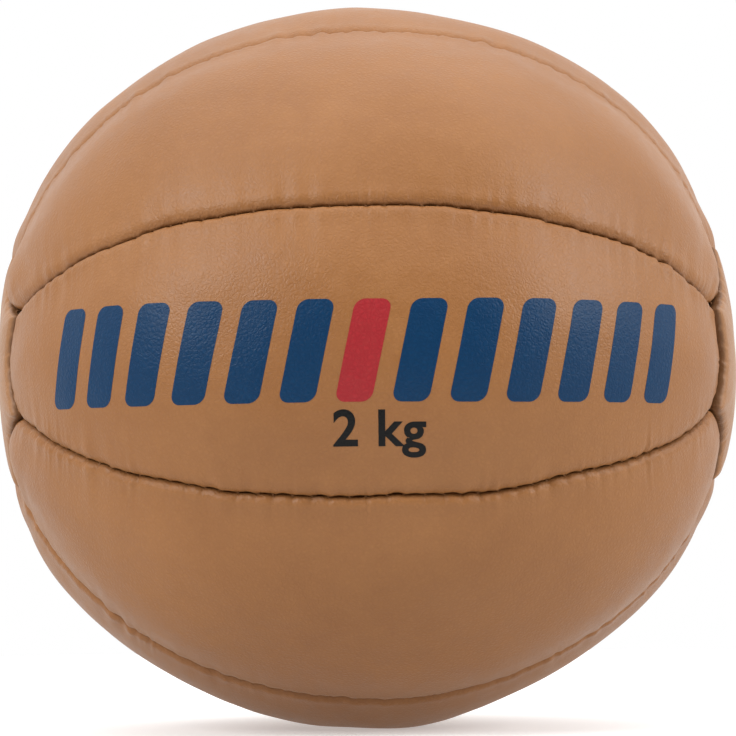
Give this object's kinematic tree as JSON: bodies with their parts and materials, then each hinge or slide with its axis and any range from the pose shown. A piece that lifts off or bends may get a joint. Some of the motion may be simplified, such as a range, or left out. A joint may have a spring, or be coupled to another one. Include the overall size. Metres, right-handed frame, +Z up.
{
  "type": "medicine ball",
  "caption": "Stuffed leather exercise ball sewn from long gores between two round end caps, for throwing, lifting and physiotherapy training.",
  "frame": {"origin": "the lowest point of the ball, where it touches the floor, straight below its centre", "axes": "+X from the left end cap to the right end cap, along the ball's pole axis; +Z up; the printed front gore faces -Y"},
  "size_m": [0.2452, 0.24, 0.24],
  "materials": {
    "gore_leather": "smooth tan leather with a fine grain and a soft sheen",
    "cap_leather": "smooth tan leather, a shade lighter than the gores",
    "lining_cotton": "plain woven unbleached cotton",
    "bag_canvas": "coarse cotton canvas",
    "waxed_thread": "twisted waxed linen thread, brown",
    "bag_thread": "plain cotton thread",
    "textile_fibre": "packed mixed textile fibre, matt",
    "print_blue": "screen-printed ink with a slight gloss, dark blue",
    "print_red": "screen-printed ink with a slight gloss, red",
    "print_black": "screen-printed ink with a slight gloss, black"
  },
  "bodies": {
    "root": {"gore_front": "gore_leather", "gore_upper_front": "gore_leather", "gore_top": "gore_leather", "gore_upper_back": "gore_leather", "gore_back": "gore_leather", "gore_lower_back": "gore_leather", "gore_bottom": "gore_leather", "gore_lower_front": "gore_leather", "end_cap_left": "cap_leather", "end_cap_right": "cap_leather", "lining_front": "lining_cotton", "lining_upper_front": "lining_cotton", "lining_top": "lining_cotton", "lining_upper_back": "lining_cotton", "lining_back": "lining_cotton", "lining_lower_back": "lining_cotton", "lining_bottom": "lining_cotton", "lining_lower_front": "lining_cotton", "cap_lining_left": "lining_cotton", "cap_lining_right": "lining_cotton", "seam_thread_1": "waxed_thread", "seam_thread_2": "waxed_thread", "seam_thread_3": "waxed_thread", "seam_thread_4": "waxed_thread", "seam_thread_5": "waxed_thread", "seam_thread_6": "waxed_thread", "seam_thread_7": "waxed_thread", "seam_thread_8": "waxed_thread", "cap_thread_left": "waxed_thread", "cap_thread_right": "waxed_thread", "inner_bag_left": "bag_canvas", "inner_bag_right": "bag_canvas", "bag_seam_thread": "bag_thread", "fibre_fill": "textile_fibre"}
  },
  "joints": []
}
